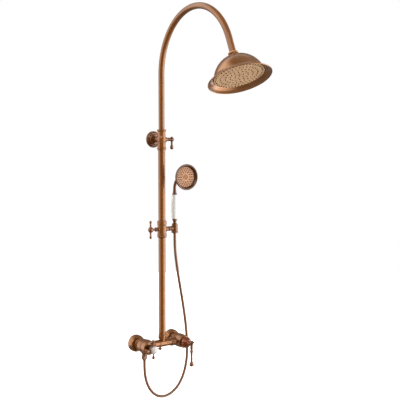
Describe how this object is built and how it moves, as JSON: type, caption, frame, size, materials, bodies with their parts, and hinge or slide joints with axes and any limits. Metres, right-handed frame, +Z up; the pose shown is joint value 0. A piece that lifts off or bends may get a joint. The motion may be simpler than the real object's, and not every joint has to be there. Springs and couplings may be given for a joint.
{
  "type": "rainfall shower column",
  "caption": "Wall-mounted bath and shower column: two-valve mixer, telescoping arched riser with tilting rain head, and hand shower on a sliding tilting holder.",
  "frame": {"origin": "on the wall surface, midway between the two valves, at the height of the wall outlets", "axes": "+Z up along the riser, +X to the right as seen from the room, -Y out of the wall into the room"},
  "size_m": [0.227, 0.6432, 1.3812],
  "materials": {
    "aged_copper": "antique copper plate on brass, brushed and lacquered, darker in the recesses",
    "copper_dark": "antique copper plate with a heavier brown patina",
    "porcelain": "white glazed porcelain",
    "hose_metal": "double-lock metal hose, antique copper",
    "rubber_dark": "soft moulded rubber, dark brown",
    "rubber_black": "matt sealing rubber",
    "cartridge_plastic": "moulded plastic with ceramic discs inside",
    "brass_raw": "unplated brass, hidden when fitted",
    "steel": "zinc-plated or stainless steel fastener",
    "bush_plastic": "acetal sliding bush"
  },
  "bodies": {
    "column": {"left_inlet_connector": "brass_raw", "right_inlet_connector": "brass_raw", "left_wall_flange": "aged_copper", "right_wall_flange": "aged_copper", "left_union_nut": "aged_copper", "right_union_nut": "aged_copper", "inlet_washers": "rubber_black", "mixer_body": "aged_copper", "diverter_cartridge": "cartridge_plastic", "diverter_retaining_ring": "aged_copper", "mixer_cartridge": "cartridge_plastic", "mixer_retaining_ring": "aged_copper", "riser_nut": "aged_copper", "riser_seal": "rubber_black", "riser_tube": "aged_copper", "bracket_stud": "steel", "bracket_rosette": "aged_copper", "bracket_arm": "aged_copper", "bracket_collar": "aged_copper", "collar_bush": "bush_plastic", "hose_outlet_nut": "copper_dark", "outlet_washer": "rubber_black", "hose": "hose_metal"},
    "diverter_handle": {"diverter_stem": "brass_raw", "diverter_cross_handle": "copper_dark", "diverter_handle_screw": "steel", "diverter_button": "porcelain"},
    "mixer_swivel": {"mixer_yoke": "steel", "mixer_pivot_pin": "steel", "mixer_dome": "aged_copper"},
    "mixer_lever": {"lever_stem": "steel", "lever_cap": "aged_copper", "lever_rod": "copper_dark", "lever_finial": "copper_dark"},
    "lock_lever": {"lock_screw": "copper_dark", "lock_lever": "copper_dark"},
    "pipe_carrier": {"pipe_seal_carrier": "rubber_black"},
    "upper_pipe": {"gooseneck_pipe": "aged_copper", "arm_ball": "copper_dark"},
    "ball_seat": {"ball_seat_ring": "bush_plastic"},
    "ball_cup": {"ball_cup": "bush_plastic"},
    "rain_head": {"head_ball_nut": "aged_copper", "head_shell": "aged_copper", "head_face_plate": "aged_copper", "head_nozzles": "rubber_dark"},
    "slider_bush": {"slider_bush": "bush_plastic"},
    "slider": {"slider_collar": "aged_copper", "holder_arm": "aged_copper", "holder_pin": "steel"},
    "slider_knob": {"slider_clamp_screw": "copper_dark", "slider_cross_knob": "copper_dark"},
    "holder": {"holder_cup": "aged_copper"},
    "hand_shower": {"hose_cone_nut": "copper_dark", "handle_bottom_ferrule": "copper_dark", "porcelain_handle": "porcelain", "handle_core_tube": "brass_raw", "handle_top_ferrule": "copper_dark", "hand_shower_neck": "copper_dark", "hand_shower_head": "copper_dark", "hand_shower_face": "copper_dark"}
  },
  "joints": [
    {"name": "diverter_turn", "type": "hinge", "parent": "column", "child": "diverter_handle", "pos_m": [-0.075, -0.11, 0], "axis": [0, -1, 0], "range_deg": [-90, 90]},
    {"name": "lever_swing", "type": "hinge", "parent": "column", "child": "mixer_swivel", "pos_m": [0.075, -0.097, 0], "axis": [0, -1, 0], "range_deg": [-45, 45]},
    {"name": "lever_lift", "type": "hinge", "parent": "mixer_swivel", "child": "mixer_lever", "pos_m": [0.075, -0.097, 0], "axis": [-1, 0, 0], "range_deg": [0, 20]},
    {"name": "lock_turn", "type": "hinge", "parent": "column", "child": "lock_lever", "pos_m": [0.04, -0.058, 0.732], "axis": [1, 0, 0], "range_deg": [-180, 0]},
    {"name": "pipe_telescope", "type": "slide", "parent": "column", "child": "pipe_carrier", "axis": [0, 0, 1], "range_m": [-0.17, 0.15]},
    {"name": "pipe_swivel", "type": "hinge", "parent": "pipe_carrier", "child": "upper_pipe", "pos_m": [0, -0.058, 0.521], "axis": [0, 0, 1], "range_deg": [-75, 75]},
    {"name": "head_tilt_front", "type": "hinge", "parent": "upper_pipe", "child": "ball_seat", "pos_m": [0, -0.48467, 0.98541], "axis": [1, 0, 0], "range_deg": [-12, 12]},
    {"name": "head_tilt_side", "type": "hinge", "parent": "ball_seat", "child": "ball_cup", "pos_m": [0, -0.48467, 0.98541], "axis": [0, 0.9159, -0.4015], "range_deg": [-12, 12]},
    {"name": "head_spin", "type": "hinge", "parent": "ball_cup", "child": "rain_head", "pos_m": [0, -0.48467, 0.98541], "axis": [0, -0.4015, -0.9159], "continuous": true},
    {"name": "slider_travel", "type": "slide", "parent": "column", "child": "slider_bush", "axis": [0, 0, 1], "range_m": [-0.15, 0.03], "deforming": ["hose"]},
    {"name": "slider_swivel", "type": "hinge", "parent": "slider_bush", "child": "slider", "pos_m": [0, -0.058, 0.413], "axis": [0, 0, 1], "range_deg": [-30, 30]},
    {"name": "slider_knob_turn", "type": "hinge", "parent": "slider", "child": "slider_knob", "pos_m": [-0.04, -0.058, 0.413], "axis": [-1, 0, 0], "range_deg": [0, 360]},
    {"name": "holder_tilt", "type": "hinge", "parent": "slider", "child": "holder", "pos_m": [0.036, -0.058, 0.413], "axis": [1, 0, 0], "range_deg": [-15, 30]},
    {"name": "hand_shower_lift", "type": "slide", "parent": "holder", "child": "hand_shower", "axis": [0, 0, 1], "range_m": [0, 0.045]}
  ]
}
